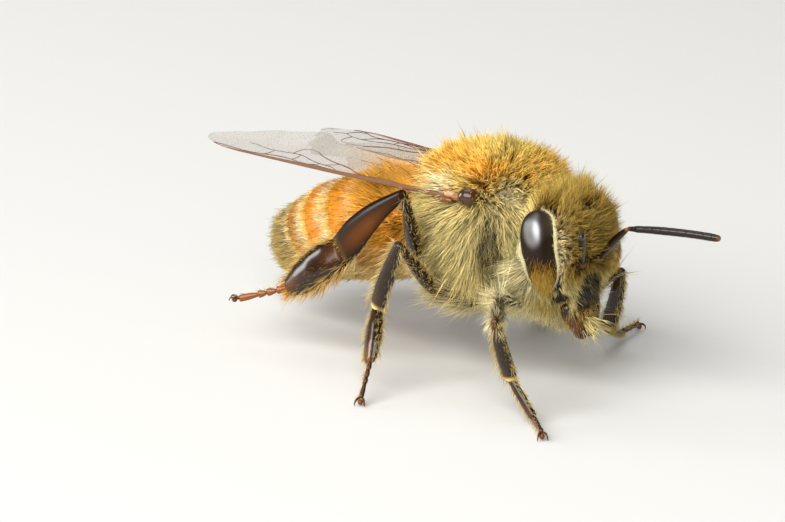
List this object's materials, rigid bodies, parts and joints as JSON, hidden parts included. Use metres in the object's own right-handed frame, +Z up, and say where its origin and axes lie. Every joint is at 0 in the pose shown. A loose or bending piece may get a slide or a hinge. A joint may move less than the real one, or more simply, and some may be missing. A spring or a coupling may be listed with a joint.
{
  "type": "honey bee",
  "caption": "Worker honey bee as a still life-size model, standing with its wings folded back over the banded abdomen, feelers held forward and one hind leg lifted.",
  "frame": {"origin": "centre of the bounding box, on the floor that the feet stand on", "axes": "+Z up; -Y is where the bee faces, so +Y runs from head to wing tips along the greatest length; +X is the bee's left"},
  "size_m": [0.0114, 0.0168, 0.0064],
  "materials": {
    "fur_golden": "golden orange fur of the thorax with paler tips",
    "fur_pale": "pale straw fur of the face, cheeks and upper lip",
    "fur_banded": "orange-brown glossy plates with short fur in cream bands",
    "compound_eye": "glossy dark brown with fine pale hairs",
    "dark_cuticle": "glossy brown-black shell with fine hairs",
    "amber_cuticle": "glossy amber-brown shell",
    "wing_membrane": "clear smoky amber film with red-brown veins"
  },
  "bodies": {
    "root": {"abdomen_1": "fur_banded", "abdomen_2": "fur_banded", "abdomen_3": "fur_banded", "abdomen_4": "fur_banded", "abdomen_5": "fur_banded", "abdomen_6": "fur_banded", "antenna_left_flagellum": "dark_cuticle", "antenna_left_scape": "dark_cuticle", "antenna_right_flagellum": "dark_cuticle", "antenna_right_scape": "dark_cuticle", "eye_left": "compound_eye", "eye_right": "compound_eye", "forewing_left": "wing_membrane", "forewing_right": "wing_membrane", "head": "fur_pale", "hindwing_left": "wing_membrane", "hindwing_right": "wing_membrane", "labrum": "fur_pale", "leg_left_fore_basitarsus": "dark_cuticle", "leg_left_fore_coxa": "amber_cuticle", "leg_left_fore_femur": "dark_cuticle", "leg_left_fore_tarsus": "amber_cuticle", "leg_left_fore_tibia": "dark_cuticle", "leg_left_hind_basitarsus": "dark_cuticle", "leg_left_hind_coxa": "amber_cuticle", "leg_left_hind_femur": "dark_cuticle", "leg_left_hind_tarsus": "amber_cuticle", "leg_left_hind_tibia": "dark_cuticle", "leg_left_mid_basitarsus": "dark_cuticle", "leg_left_mid_coxa": "amber_cuticle", "leg_left_mid_femur": "dark_cuticle", "leg_left_mid_tarsus": "amber_cuticle", "leg_left_mid_tibia": "dark_cuticle", "leg_right_fore_basitarsus": "dark_cuticle", "leg_right_fore_coxa": "amber_cuticle", "leg_right_fore_femur": "dark_cuticle", "leg_right_fore_tarsus": "amber_cuticle", "leg_right_fore_tibia": "dark_cuticle", "leg_right_hind_basitarsus": "dark_cuticle", "leg_right_hind_coxa": "amber_cuticle", "leg_right_hind_femur": "dark_cuticle", "leg_right_hind_tarsus": "amber_cuticle", "leg_right_hind_tibia": "dark_cuticle", "leg_right_mid_basitarsus": "dark_cuticle", "leg_right_mid_coxa": "amber_cuticle", "leg_right_mid_femur": "dark_cuticle", "leg_right_mid_tarsus": "amber_cuticle", "leg_right_mid_tibia": "dark_cuticle", "mandible_left": "amber_cuticle", "mandible_right": "amber_cuticle", "proboscis": "amber_cuticle", "tegula_left": "dark_cuticle", "tegula_right": "dark_cuticle", "thorax": "fur_golden"}
  },
  "joints": []
}
